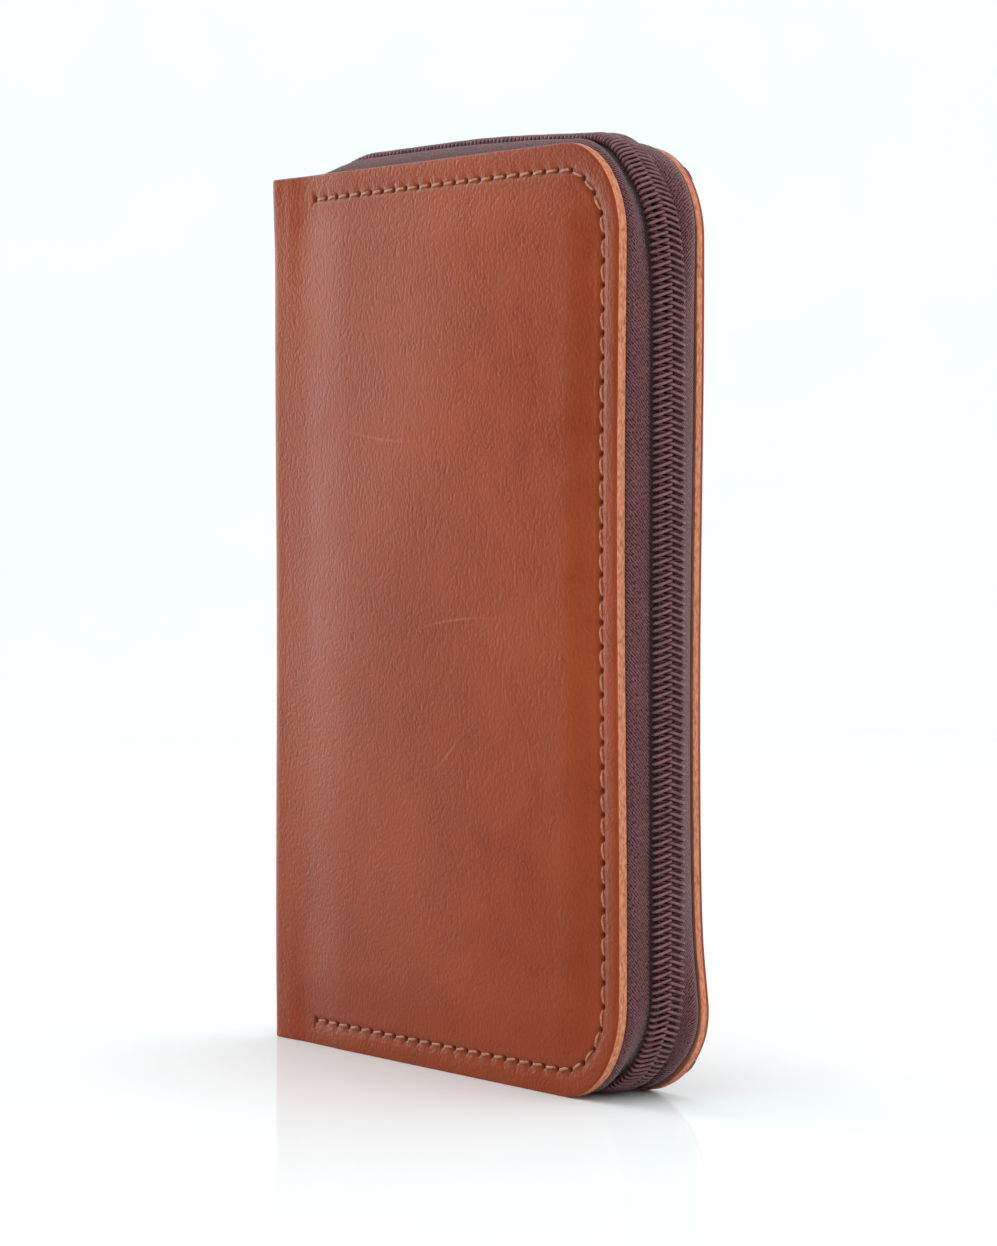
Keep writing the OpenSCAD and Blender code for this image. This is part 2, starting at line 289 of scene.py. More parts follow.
# %% A single rubbed scratch
def make_scratch_group():
    group, into, out = new_group(
        "Rubbed scratch",
        {"Vector": (0, 0, 0), "Centre": (0, 0, 0), "Length": 0.02, "Width": 0.0006, "Bend": 8.0,
         "Angle": 0.0},
        ["Mask"],
    )
    moved = add(group, "ShaderNodeVectorMath", {0: into.outputs[0], 1: into.outputs[1]},
                operation="SUBTRACT")
    turned = add(group, "ShaderNodeVectorRotate", {"Vector": moved.outputs[0], "Angle": into.outputs[5]},
                 rotation_type="Z_AXIS")
    split = add(group, "ShaderNodeSeparateXYZ", {0: turned.outputs[0]})
    along, aside = split.outputs[0], split.outputs[1]
    curve = times(group, times(group, along, along), into.outputs[4])
    beside = math_node(group, "SUBTRACT", aside, curve)
    off = math_node(group, "ABSOLUTE", math_node(group, "DIVIDE", beside, into.outputs[3]))
    end = math_node(group, "ABSOLUTE", math_node(group, "DIVIDE", along, into.outputs[2]))
    core = math_node(group, "MAXIMUM", math_node(group, "SUBTRACT", 1.0, off), 0.0)
    fade = math_node(group, "MAXIMUM", math_node(group, "SUBTRACT", 1.0, end), 0.0)
    break_up = noise(group, into.outputs[0], 900.0, 2.0)
    mask = times(group, times(group, core, fade), break_up)
    group.links.new(mask, out.inputs["Mask"])
    return group


GRAIN = make_grain_group()
TWILL = make_twill_group()
SCRATCH = make_scratch_group()

# %% [markdown]
# ## Finishes
#
# The cover leather is a waxed cognac hide: orange-brown with slow changes of tone, a fine pebble grain
# and a soft, slightly rough gloss. Its cut edge shows the paler tan inside of the hide. The tapes and
# linings are twill, the coil is satin nylon, and the metal is antique brass.

# %% Material starter
def new_material(name, **principled):
    material = bpy.data.materials.new(name)
    material.use_nodes = True
    tree = material.node_tree
    shader = tree.nodes["Principled BSDF"]
    for key, value in principled.items():
        shader.inputs[key.replace("_", " ")].default_value = value
    return material, tree, shader


def use_group(tree, group, **links):
    named = {key.replace("_", " "): value for key, value in links.items()}
    return add(tree, "ShaderNodeGroup", named, node_tree=group)


def bump(tree, shader, height, strength, distance):
    node = add(tree, "ShaderNodeBump", {"Height": height, "Strength": strength, "Distance": distance})
    tree.links.new(node.outputs[0], shader.inputs["Normal"])


# %% Leathers
def leather_material(name, deep, mid, pale, roughness, where="UV", pebble=1700.0, scratches=(),
                     sewn=False):
    material, tree, shader = new_material(name, Specular_IOR_Level=0.1)
    place = add(tree, "ShaderNodeTexCoord").outputs[where]
    slow = noise(tree, place, 22.0, 3.0, Roughness=0.55)
    cloud = noise(tree, place, 120.0, 4.0, Roughness=0.6)
    tone = math_node(tree, "MULTIPLY_ADD", cloud, 0.35, times(tree, slow, 0.65))
    colour = ramp(tree, tone, [(0.38, deep), (0.52, mid), (0.68, pale)])
    grain = use_group(tree, GRAIN, Vector=place, Pebble_size=pebble)
    speck = ramp(tree, grain.outputs["Pores"], [(0.35, (0.86, 0.84, 0.82)), (0.6, (1, 1, 1))])
    colour = mix(tree, 0.5, colour, speck, "MULTIPLY")
    for centre, length, width, bend, angle in scratches:
        mark = use_group(tree, SCRATCH, Vector=place, Centre=centre, Length=length, Width=width, Bend=bend,
                         Angle=angle).outputs["Mask"]
        colour = mix(tree, times(tree, mark, 0.45), colour, linear(205, 132, 104))
    if sewn:
        dark = add(tree, "ShaderNodeAttribute", attribute_name="burnish").outputs["Fac"]
        colour = mix(tree, times(tree, dark, 0.55), colour, linear(118, 56, 34))
        # Painted shade: the leather round each needle hole is darkened almost to black, standing in for the
        # shade inside the hole.
        hole_shade = add(tree, "ShaderNodeAttribute", attribute_name="needle_hole_shade").outputs["Fac"]
        colour = mix(tree, times(tree, hole_shade, 0.92), colour, linear(46, 16, 8))
    tree.links.new(colour, shader.inputs["Base Color"])
    sheen = map_range(tree, cloud, 0.3, 0.7, roughness - 0.05, roughness + 0.07)
    tree.links.new(sheen, shader.inputs["Roughness"])
    bump(tree, shader, grain.outputs["Height"], 0.38, 0.00007)
    return material


def raw_edge_material():
    material, tree, shader = new_material("Raw leather edge", Roughness=0.75, Specular_IOR_Level=0.3)
    place = add(tree, "ShaderNodeTexCoord").outputs["Object"]
    long_way = add(tree, "ShaderNodeMapping", {"Vector": place, "Scale": (1, 2, 0.7)})
    fibres = noise(tree, long_way.outputs[0], 1500.0, 4.0)
    colour = ramp(tree, fibres, [(0.3, linear(154, 88, 60)), (0.5, linear(194, 122, 90)),
                                 (0.75, linear(214, 148, 116))])
    tree.links.new(colour, shader.inputs["Base Color"])
    bump(tree, shader, fibres, 0.5, 0.0001)
    return material


# %% Cloth, thread and nylon
def twill_material(name, dark, light, ribs, depth=0.00008, painted_coil_shade=False):
    material, tree, shader = new_material(name, Roughness=0.85, Specular_IOR_Level=0.25,
                                          Sheen_Weight=0.25, Sheen_Roughness=0.5)
    place = add(tree, "ShaderNodeTexCoord").outputs["UV"]
    weave = use_group(tree, TWILL, Vector=place, Ribs_per_metre=ribs)
    mixed = math_node(tree, "MULTIPLY_ADD", noise(tree, place, 2100.0, 1.0), 7.0, weave.outputs["Height"])
    colour = ramp(tree, map_range(tree, mixed, 2.2, 5.4), [(0.1, dark), (0.85, light)])
    shade = ramp(tree, noise(tree, place, 160.0, 3.0), [(0.3, (0.8, 0.8, 0.8)), (0.7, (1, 1, 1))])
    colour = mix(tree, 1.0, colour, shade, "MULTIPLY")
    # Painted shade: the strip of tape that lies under the coil is darkened, standing in for the shade
    # between the coil's turns.
    if painted_coil_shade:
        across = add(tree, "ShaderNodeSeparateXYZ", {0: place}).outputs[0]
        coil_shade_band = map_range(tree, across, 0.0147, 0.0153, to_high=0.85)
        colour = mix(tree, coil_shade_band, colour, linear(34, 12, 15))
    tree.links.new(colour, shader.inputs["Base Color"])
    bump(tree, shader, weave.outputs["Height"], 0.6, depth)
    return material


def speckled_material(name, dark, light, roughness, scale, depth):
    """A plain finish with a fine change of tone and a fine bump: thread, nylon, foam, board."""
    material, tree, shader = new_material(name, Roughness=roughness)
    place = add(tree, "ShaderNodeTexCoord").outputs["Object"]
    speckle = noise(tree, place, scale, 3.0)
    tree.links.new(ramp(tree, speckle, [(0.3, dark), (0.7, light)]), shader.inputs["Base Color"])
    bump(tree, shader, speckle, 0.4, depth)
    return material


# %% Metal
def brass_material():
    material, tree, shader = new_material("Antique brass", Metallic=1.0)
    place = add(tree, "ShaderNodeTexCoord").outputs["Object"]
    patina = noise(tree, place, 600.0, 5.0, Roughness=0.65)
    colour = ramp(tree, patina, [(0.3, linear(112, 92, 66)), (0.55, linear(148, 124, 90)),
                                 (0.8, linear(176, 153, 116))])
    tree.links.new(colour, shader.inputs["Base Color"])
    tree.links.new(map_range(tree, patina, 0.0, 1.0, 0.5, 0.26), shader.inputs["Roughness"])
    bump(tree, shader, patina, 0.25, 0.00004)
    return material


# %% Make the finishes
# Each scratch is (centre, half length, half width, bend, angle) on the unrolled skin.
SCRATCHES = [
    ((0.0420, 0.1030, 0), 0.0130, 0.00030, 4.0, math.radians(6)),
    ((0.0660, 0.0735, 0), 0.0130, 0.00030, -5.0, math.radians(-6)),
    ((0.0640, 0.0515, 0), 0.0065, 0.00035, 8.0, math.radians(-38)),
]
COVER = leather_material("Cognac leather", linear(138, 55, 22), linear(147, 62, 26), linear(156, 68, 30),
                         0.32, scratches=SCRATCHES, sewn=True)
FLESH = leather_material("Leather flesh side", linear(150, 92, 64), linear(172, 112, 82),
                         linear(190, 132, 100), 0.8, pebble=1600.0)
POCKET = leather_material("Thin pocket leather", linear(114, 55, 31), linear(124, 61, 35),
                          linear(133, 68, 40), 0.55, where="Object", pebble=1100.0)
RAW_EDGE = raw_edge_material()
# The zip tape gets the painted shade strip under its coil.
TAPE = twill_material("Woven zip tape", linear(18, 5, 8), linear(134, 80, 84), 1900.0, depth=0.00012,
                      painted_coil_shade=True)
LINING = twill_material("Twill lining", linear(60, 36, 26), linear(98, 64, 48), 1700.0)
NYLON = speckled_material("Satin nylon coil", linear(82, 43, 46), linear(120, 74, 77), 0.3, 700.0, 0.00002)
DARK_THREAD = speckled_material("Zip sewing thread", linear(52, 28, 32), linear(80, 52, 56), 0.8,
                                3000.0, 0.00004)
THREAD = speckled_material("Tan waxed thread", linear(150, 92, 62), linear(196, 138, 104), 0.5,
                           2600.0, 0.00005)
FOAM = speckled_material("Foam sheet", linear(205, 200, 188), linear(225, 222, 212), 0.9, 1400.0, 0.0001)
BOARD = speckled_material("Fibre board", linear(140, 124, 100), linear(172, 156, 130), 0.85, 500.0, 0.00005)
BRASS = brass_material()
print("finishes made:", len(bpy.data.materials))

# %% [markdown]
# ## The path of the zip
#
# The zip runs along the top, round the fore-edge and back along the bottom. At the top it dives between
# the covers beside the spine, and along the bottom it climbs slowly, so that the parked slider has
# room. A station holds a point on the leather's edge and a point on the chain's crest, each with its
# direction outwards, and everything that follows the zip is laid through such stations.


# %% Stations along the zip
def aim(degrees):
    return Vector((math.cos(math.radians(degrees)), 0, math.sin(math.radians(degrees))))


def at(x, z):
    return Vector((x, 0, z))


ZIP_R = CORNER_R + CREST_X - EDGE_X
EDGE_TOP = at(EDGE_X - CORNER_R, HEIGHT - CORNER_R)
EDGE_LOW = at(EDGE_X - CORNER_R, CORNER_R)
CREST_TOP = at(CREST_X - ZIP_R, CREST_Z - ZIP_R)
CREST_LOW = at(CREST_X - ZIP_R, ZIP_R + FLOOR_CLEAR)
RISE = math.degrees(math.atan(ZIP_RISE / (CREST_LOW.x - TAPE_X)))
RISE_FOOT = CREST_LOW + ZIP_R * aim(-90 - RISE)
FORE_LENGTH = EDGE_TOP.z - EDGE_LOW.z


def dip(x):
    return ZIP_DIP * (1 + math.cos(math.pi * min(1, max(0, (x - TAPE_X) / DIP_RUN)))) / 2


def rise_point(x):
    return at(x, RISE_FOOT.z + (RISE_FOOT.x - x) * math.tan(math.radians(RISE)))


def stations(step, x_top=TAPE_X, x_low=TAPE_X):
    """(edge point, edge direction, crest point, crest direction, closeness) every step along the zip."""
    found = []
    count = math.ceil((EDGE_TOP.x - x_top) / step)
    for k in range(count):
        x = x_top + (EDGE_TOP.x - x_top) * k / count
        found.append((at(x, HEIGHT), 90, at(x, CREST_Z - dip(x)), 90, dip(x) / ZIP_DIP))
    count = math.ceil(ZIP_R * math.pi / 2 / step)
    for k in range(count):
        a = 90 - 90 * k / count
        found.append((EDGE_TOP + CORNER_R * aim(a), a, CREST_TOP + ZIP_R * aim(a), a, 0))
    count = math.ceil(FORE_LENGTH / step)
    for k in range(count):
        down = Vector((0, 0, -FORE_LENGTH * k / count))
        slip = Vector((0, 0, -(CREST_TOP.z - CREST_LOW.z) * k / count))
        found.append((EDGE_TOP + CORNER_R * aim(0) + down, 0, CREST_TOP + ZIP_R * aim(0) + slip, 0, 0))
    count = math.ceil(ZIP_R * math.pi / 2 / step)
    for k in range(count):
        a, b = -90 * k / count, -(90 + RISE) * k / count
        closeness = ease(k / count) * 0.9
        found.append((EDGE_LOW + CORNER_R * aim(a), a, CREST_LOW + ZIP_R * aim(b), b, closeness))
    count = math.ceil((EDGE_LOW.x - x_low) / step)
    for k in range(count + 1):
        x = EDGE_LOW.x + (x_low - EDGE_LOW.x) * k / count
        crest = rise_point(min(x, RISE_FOOT.x)) if k else RISE_FOOT
        found.append((at(x, 0), -90, crest, -90 - RISE, min(1, 0.9 + k / 60)))
    return found


# %% Crest line by length
def crest_lengths(line):
    """The length of the crest from the first station to each station."""
    lengths = [0]
    for before, after in zip(line, line[1:]):
        lengths.append(lengths[-1] + (after[2] - before[2]).length)
    return lengths


def crest_line(x_low):
    """A function that gives (point, direction outwards) at a length from the line's start."""
    line = stations(0.5 * MM, COIL_TOP, x_low)
    lengths = crest_lengths(line)

    def place(length):
        length = min(max(length, 0), lengths[-1] - 1e-9)
        low, high = 0, len(lengths) - 1
        while high - low > 1:
            mid = (low + high) // 2
            low, high = (mid, high) if lengths[mid] <= length else (low, mid)
        t = (length - lengths[low]) / max(lengths[low + 1] - lengths[low], 1e-9)
        point = line[low][2].lerp(line[low + 1][2], t)
        return point, aim(line[low][3] + (line[low + 1][3] - line[low][3]) * t)

    return place, lengths[-1]


# %% How the zip leans in the top corner
def settle(point):
    """Moves a point of the zip as the made-up holder does: in the top corner the chain is drawn in and
    towards the front while the back tape puffs out, and along the top the tapes hug the coil."""
    y = abs(point.y)
    dx, dz = point.x - EDGE_TOP.x, point.z - EDGE_TOP.z
    if dz < -25 * MM:
        return point
    past = dx - dz
    near = 1 - ease(abs(past) / (27 * MM))
    drawn = near if past > 0 else 1 - ease(-past / (56 * MM))
    middle = 1 - ease((y - 3.2 * MM) / (2.8 * MM))
    puff = math.sin(math.pi * min(1, max(0, (y - 2.9 * MM) / (3.2 * MM))))
    low = 1 - ease(abs(past - 7 * MM) / (24 * MM))
    out = -2.0 * MM * middle * drawn + (1.6 * MM * low if point.y > 0 else 0.35 * MM * near) * puff
    out = out * aim(45 - 45 * min(1, max(-1, past / (18 * MM))))
    hug = 1.15 * MM * puff * ease(-past / (30 * MM)) * ease((point.x - TAPE_X + 3 * MM) / (12 * MM))
    return point + out + Vector((0, -1.1 * MM * middle * near, hug))

# %% [markdown]
# ## The leather
#
# The real cover is one skin of leather folded round the spine. Here it is two skins that meet in the
# middle of the spine. A flat grid is cut to the cover's outline, made finer along the stitch line and
# at the fold, pressed and crowned, then folded round the spine and given its thickness. The cut edge is
# a separate finish.

# %% The unrolled leather
FLAT_SPINE = HALF_T - SPINE_R
FOLD = SPINE_R * math.pi / 2
SKIN_L = FLAT_SPINE + FOLD + EDGE_X - SPINE_X - SPINE_R
FIRST_STITCH = STITCH_START - SPINE_R + FLAT_SPINE + FOLD


def round_corners(s, z, length, height, radius):
    """Rounds the two far corners of a rectangle: a small square at each corner becomes a quarter disc."""
    u = (s - (length - radius)) / radius
    middle = height / 2
    v = (abs(z - middle) - (middle - radius)) / radius
    if u <= 0 or v <= 0:
        return s, z
    sign = 1 if z > middle else -1
    return (length - radius + radius * u * math.sqrt(1 - v * v / 2),
            middle + sign * (middle - radius + radius * v * math.sqrt(1 - u * u / 2)))


def edge_inset(s, z):
    """Distance from the leather's three free edges, on the unrolled skin."""
    a = s - (SKIN_L - CORNER_R)
    b = abs(z - HEIGHT / 2) - (HEIGHT / 2 - CORNER_R)
    if a > 0 or b > 0:
        return CORNER_R - math.hypot(max(a, 0), max(b, 0))
    return min(SKIN_L - s, HEIGHT / 2 - abs(z - HEIGHT / 2))


def stitch_points():
    """Needle holes along the stitch line on the unrolled skin."""
    r = CORNER_R - STITCH_INSET
    run = SKIN_L - CORNER_R - FIRST_STITCH
    tall = HEIGHT - 2 * CORNER_R
    arc = r * math.pi / 2
    total = 2 * run + tall + 2 * arc
    count = round(total / STITCH_PITCH)
    for k in range(count + 1):
        d = total * k / count
        if d <= run:
            yield FIRST_STITCH + d, HEIGHT - STITCH_INSET
        elif d <= run + arc:
            a = (d - run) / r
            yield SKIN_L - CORNER_R + r * math.sin(a), HEIGHT - CORNER_R + r * math.cos(a)
        elif d <= run + arc + tall:
            yield SKIN_L - STITCH_INSET, HEIGHT - CORNER_R - (d - run - arc)
        elif d <= run + 2 * arc + tall:
            a = (d - run - arc - tall) / r
            yield SKIN_L - CORNER_R + r * math.cos(a), CORNER_R - r * math.sin(a)
        else:
            yield SKIN_L - CORNER_R - (d - run - 2 * arc - tall), STITCH_INSET


HOLES = list(stitch_points())
HOLE_CELL = 4 * MM
hole_map = {}
for s, z in HOLES:
    hole_map.setdefault((int(s // HOLE_CELL), int(z // HOLE_CELL)), []).append((s, z))


def nearest_hole(s, z):
    i, j = int(s // HOLE_CELL), int(z // HOLE_CELL)
    near = [math.hypot(s - a, z - b) for di in (-1, 0, 1) for dj in (-1, 0, 1)
            for a, b in hole_map.get((i + di, j + dj), [])]
    return min(near, default=1.0)


# %% Relief and waviness of each cover
GROOVE = 0.16 * MM
CROWN = 0.6 * MM
DOME = 0.75 * MM


def fold_bulge(s, z):
    """The fold is tighter than a quarter circle, and it flares a little at the top."""
    turn = math.pi / 2 * min(1, max(0, (s - FLAT_SPINE) / FOLD))
    corner = 6 + 3 * ease((z - HEIGHT + 16 * MM) / (16 * MM))
    reach = (math.cos(turn) ** corner + math.sin(turn) ** corner) ** (-1 / corner) - 1
    flare = 0.25 * MM + 0.75 * MM * math.exp(-((HEIGHT - z) / (9 * MM)) ** 2)
    flare *= 1 - ease(s / (FLAT_SPINE + FOLD))
    return SPINE_R * reach + flare


def relief(s, z):
    """Height of the leather's face above its flat place."""
    inset = edge_inset(s, z)
    past_fold = s - FLAT_SPINE - FOLD
    into_cover = ease((past_fold + 2 * MM) / (24 * MM))
    crown = CROWN * ease((inset - 4.4 * MM) / (9 * MM)) * into_cover
    width = (past_fold - 8 * MM) / (SKIN_L - FLAT_SPINE - FOLD - 13 * MM)
    dome = DOME * math.sin(math.pi * min(1, max(0, width))) * math.sin(math.pi * z / HEIGHT) ** 0.5
    ends = math.exp(-(z / (22 * MM)) ** 2) + math.exp(-((HEIGHT - z) / (22 * MM)) ** 2)
    sag = -(0.03 + 0.3 * ends) * MM * ease(past_fold / (6 * MM))
    sag *= 1 - ease((past_fold - 6 * MM) / (14 * MM))
    slow = 0.1 * MM * math.sin(s * 95 + 1.3) * math.sin(z * 61 + 0.4) * ease(inset / (12 * MM))
    press = 0
    if s > FIRST_STITCH - 0.6 * MM:
        width = (1.8 if inset < STITCH_INSET else 1.0) * MM
        press = GROOVE * (1 - ease((abs(inset - STITCH_INSET) - 0.1 * MM) / width))
        near = 1 - ease((nearest_hole(s, z) - 0.15 * MM) / (0.42 * MM))
        press += 0.5 * MM * near
        if inset < STITCH_INSET + 0.4 * MM:
            pull = 1 - ease(nearest_hole(s, z) / (2.2 * MM))
            press += 0.1 * MM * pull * min(1, inset / MM)
    return crown + dome + sag + slow + fold_bulge(s, z) - press


def front_edge_wave(z):
    return 0.35 * MM * math.sin(z * 46 + 0.6) * ease(z / 0.02) * ease((HEIGHT - z) / 0.02)


def back_edge_wave(z):
    flare = 2.1 * MM * math.exp(-((z - 11 * MM) / (11 * MM)) ** 2)
    return 0.45 * MM * math.cos((z - 128 * MM) * 47) * ease((z - 20 * MM) / 0.02) + flare


def fold_skin(s, z, height, side, wave):
    """Puts a point of the unrolled skin on the holder, height above its face; side is -1 at the front."""
    if s < FLAT_SPINE:
        point, out = Vector((SPINE_X, s, z)), Vector((-1, 0, 0))
    elif s < FLAT_SPINE + FOLD:
        a = (s - FLAT_SPINE) / SPINE_R
        out = Vector((-math.cos(a), math.sin(a), 0))
        point = Vector((SPINE_X + SPINE_R, FLAT_SPINE, z)) + SPINE_R * out
    else:
        point, out = Vector((SPINE_X + SPINE_R + s - FLAT_SPINE - FOLD, HALF_T, z)), Vector((0, 1, 0))
    loose = ease((s - SKIN_L + 22 * MM) / (22 * MM))
    point += out * height + Vector((wave(z) * loose, 0, 0))
    point.y *= side
    return point


# %% Round the cut edge
def round_cut(skin, rounding):
    """Rounds both edges of the cut leather: the face's by rounding, the flesh's by a little."""
    for on_face, offset in ((True, rounding), (False, 0.2 * MM)):
        slots = {}
        for face in skin.data.polygons:
            for key in face.edge_keys:
                slots.setdefault(key, set()).add(face.material_index)
        clear_marks(skin)
        for e in skin.data.edges:
            first, second = (skin.data.vertices[i].co for i in e.vertices)
            e.select = slots[e.key] == ({0, 1} if on_face else {1, 2}) and abs(first.y + second.y) > MM
        edit_marked(skin, "EDGE")
        bpy.ops.mesh.bevel(offset=offset, segments=3 if on_face else 2, affect="EDGES", profile=0.5,
                           material=0 if on_face else 1)
        bpy.ops.object.mode_set(mode="OBJECT")


# %% Make one half of the skin
def leather_skin(name, side, wave, rounding):
    across, along = 92, 124
    flat = add_grid(name, across, along, lambda u, v: Vector((*round_corners(
        u * SKIN_L, v * HEIGHT, SKIN_L, HEIGHT, CORNER_R), 0)))
    for loop in flat.data.loops:
        flat.data.uv_layers[0].data[loop.index].uv = flat.data.vertices[loop.vertex_index].co.xy
    clear_marks(flat)
    for face in flat.data.polygons:
        s, z, _ = face.center
        sewn = abs(edge_inset(s, z) - STITCH_INSET) < 1.4 * MM and s > FIRST_STITCH - 2 * MM
        face.select = sewn or FLAT_SPINE - MM < s < FLAT_SPINE + FOLD + MM
    edit_marked(flat, "FACE")
    bpy.ops.mesh.subdivide(number_cuts=3)
    bpy.ops.object.mode_set(mode="OBJECT")
    # This attribute carries the painted shade of the needle holes. It is 1 at a hole and fades out by about
    # 0.55 mm from it.
    needle_hole_shade = flat.data.attributes.new("needle_hole_shade", "FLOAT", "POINT")
    burnish = flat.data.attributes.new("burnish", "FLOAT", "POINT")
    for v in flat.data.vertices:
        s, z = v.co.x, v.co.y
        needle_hole_shade.data[v.index].value = 1 - ease((nearest_hole(s, z) - 0.25 * MM) / (0.3 * MM))
        groove = 1 - ease((abs(edge_inset(s, z) - STITCH_INSET) - 0.2 * MM) / (1.1 * MM))
        rim = 1 - ease(edge_inset(s, z) / (1.6 * MM))
        burnish.data[v.index].value = max(0.5 * groove * (s > FIRST_STITCH - MM), 0.3 * rim)
        v.co = fold_skin(s, z, relief(s, z), side, wave)
    face_towards(flat, lambda p: Vector((0, side, 0)))
    dress(flat, COVER, RAW_EDGE, FLESH)
    modify(flat, "SOLIDIFY", thickness=LEATHER_T, offset=-1, use_even_offset=True, material_offset_rim=1,
           material_offset=2)
    round_cut(flat, rounding)
    smooth(flat, 35)
    return flat


front_skin = leather_skin("front_leather_skin", -1, front_edge_wave, 0.3 * MM)
back_skin = leather_skin("back_leather_skin", 1, back_edge_wave, 0.85 * MM)
print("leather faces", len(front_skin.data.polygons), len(back_skin.data.polygons))

# %% [markdown]
# ## The tapes
#
# Each zip tape is a ribbon of woven cloth. One side of it is sewn behind the leather, the ribbon leaves
# the cover's edge in a slope, and its free side carries the coil. Beside the spine and along the
# bottom it dives between the covers instead, and leaves the slot that the slider runs in.

# %% The tape's section
COIL_T = 1.9 * MM
TAPE_T = 0.5 * MM
TAPE_WIDTH = 18 * MM
TAPE_STEP = 1.1 * MM
TAPE_COLUMNS = 30


def tape_section(out, closeness):
    """Points (distance from the middle, distance out of the leather's edge) across a tape."""
    flat = [(6.2, -11), (6.2, -7), (6.2, -3), (6.18, -1.3), (5.9, -0.5), (5.3, 0.05), (4.5, 0.42),
            (3.9, 0.62), (3.3, 0.76), (2.2, None), (0.4, None)]
    deep = [(6.2, -11), (6.2, -7), (6.2, -3), (6.2, -1.25), (5.7, -0.95), (5.05, -0.72), (4.65, -0.45),
            (4.65, 0.5), (4.55, 1), (3.2, None), (0.4, None)]
    level = out - COIL_T - TAPE_T / 2
    section = []
    for (ya, za), (yb, zb) in zip(flat, deep):
        za = level if za is None else (za * MM if za < 0 else za * MM * level / (0.85 * MM))
        if zb is None or zb == 1:
            zb = level
        else:
            zb = zb * MM if zb < 0 else (level - 0.45 * MM) / 2
        section.append(Vector((ya + (yb - ya) * closeness, 0, (za + (zb - za) * closeness) / MM)) * MM)
    return section


def across_section(section, u):
    t = u * (len(section) - 1)
    i = min(int(t), len(section) - 2)
    return section[i].lerp(section[i + 1], t - i)


# %% Make a tape
def zip_tape(name, side, wave):
    line = stations(TAPE_STEP)
    lengths = crest_lengths(line)

    def rule(u, v):
        edge, edge_aim, crest, crest_aim, closeness = line[round(v * (len(line) - 1))]
        stand_out = (crest - edge).dot(aim(crest_aim))
        q = across_section(tape_section(stand_out, closeness), u)
        if closeness < 0.5:
            t = ease((q.z - stand_out + 2.6 * MM) / (2.6 * MM))
        else:
            t = ease((6 * MM - q.x) / (2 * MM))
        point = (edge + q.z * aim(edge_aim)).lerp(crest + (q.z - stand_out) * aim(crest_aim), t)
        drift = wave(point.z) * ease((q.x - 3 * MM) / (3 * MM)) * max(0, math.cos(math.radians(edge_aim)))
        return settle(Vector((point.x + drift, side * q.x, point.z)))

    tape = add_grid(name, TAPE_COLUMNS, len(line) - 1, rule)
    for loop in tape.data.loops:
        row, column = divmod(loop.vertex_index, TAPE_COLUMNS + 1)
        tape.data.uv_layers[0].data[loop.index].uv = (column / TAPE_COLUMNS * TAPE_WIDTH, lengths[row])
    face_towards(tape, lambda p: p - at(0, HEIGHT / 2))
    dress(tape, TAPE)
    modify(tape, "SOLIDIFY", thickness=TAPE_T, offset=0, use_even_offset=False)
    smooth(tape, 50)
    return tape


front_tape = zip_tape("front_tape_cloth", -1, front_edge_wave)
back_tape = zip_tape("back_tape_cloth", 1, back_edge_wave)

# %% [markdown]
# ## The coil
#
# The teeth of this zip are one nylon wire wound into a flattened coil along each tape. The wire leaves the
# head, crosses over the tape to the heel, turns down, and comes back under itself. The heads of
# the two coils lie half a pitch apart, so that each head sits between two of the other side. A sewing
# thread runs over the turns and holds them to the tape.

# %% Wind a coil
# One turn, as (distance from the middle in mm, height in mm, share of the pitch, share of the thickness).
TURN = [
    (0.08, -0.32, 0.00, 1.0),
    (0.70, -0.28, 0.16, 1.0),
    (1.40, -0.32, 0.36, 1.0),
    (2.10, -0.40, 0.57, 1.0),
    (2.58, -0.60, 0.72, 1.0),
    (2.72, -1.05, 0.80, 0.95),
    (2.55, -1.45, 0.84, 0.9),
    (1.50, -1.58, 0.89, 0.9),
    (0.45, -1.52, 0.94, 0.95),
    (-0.12, -1.22, 0.97, 1.0),
    (-0.26, -0.76, 0.985, 1.05),
]
WIRE_R = 0.28 * MM
SEWING_R = 0.11 * MM
SEWING_Y = 1.95 * MM
SEWING_HEIGHT = -0.2 * MM


def draw_curve(name, points, radii, radius, rounds):
    bpy.ops.object.select_all(action="DESELECT")
    bpy.ops.curve.primitive_nurbs_path_add(location=(0, 0, 0))
    drawn = bpy.context.active_object
    drawn.name = name
    line = drawn.data.splines[0]
    line.type = "POLY"
    line.points.add(len(points) - len(line.points))
    for spot, point, r in zip(line.points, points, radii):
        spot.co = (*point, 1)
        spot.radius = r
    drawn.data.bevel_depth = radius
    drawn.data.bevel_resolution = rounds
    drawn.data.use_fill_caps = True
    drawn.data.twist_mode = "MINIMUM"
    bpy.ops.object.convert(target="MESH")
    return bpy.context.active_object


def wind_coil(name, side, shift, x_low):
    place, total = crest_line(x_low)
    turns = int(total / COIL_PITCH - shift - 0.5)
    points, radii = [], []
    for k in range(turns):
        for y, h, step, r in TURN:
            point, out = place((k + shift + step) * COIL_PITCH)
            points.append(settle(point + out * (h * MM) + Vector((0, side * y * MM, 0))))
            radii.append(r)
    coil = draw_curve(name, points, radii, WIRE_R, 1)
    dress(coil, NYLON)
    smooth(coil, 70)
    return coil


def sew_coil(name, side, shift, x_low):
    """The thread that holds the turns down: it rises over each turn and dips between two."""
    place, total = crest_line(x_low)
    points = []
    count = int((total / COIL_PITCH - shift - 0.5) * 4)
    for k in range(count):
        point, out = place((shift + 0.52 + k / 4) * COIL_PITCH)
        dip_in = (0.0, 0.26, 0.52, 0.26)[k % 4]
        point += out * (SEWING_HEIGHT - dip_in * MM) + Vector((0, side * SEWING_Y, 0))
        points.append(settle(point))
    thread = draw_curve(name, points, [1] * len(points), SEWING_R, 0)
    dress(thread, DARK_THREAD)
    smooth(thread, 70)
    return thread


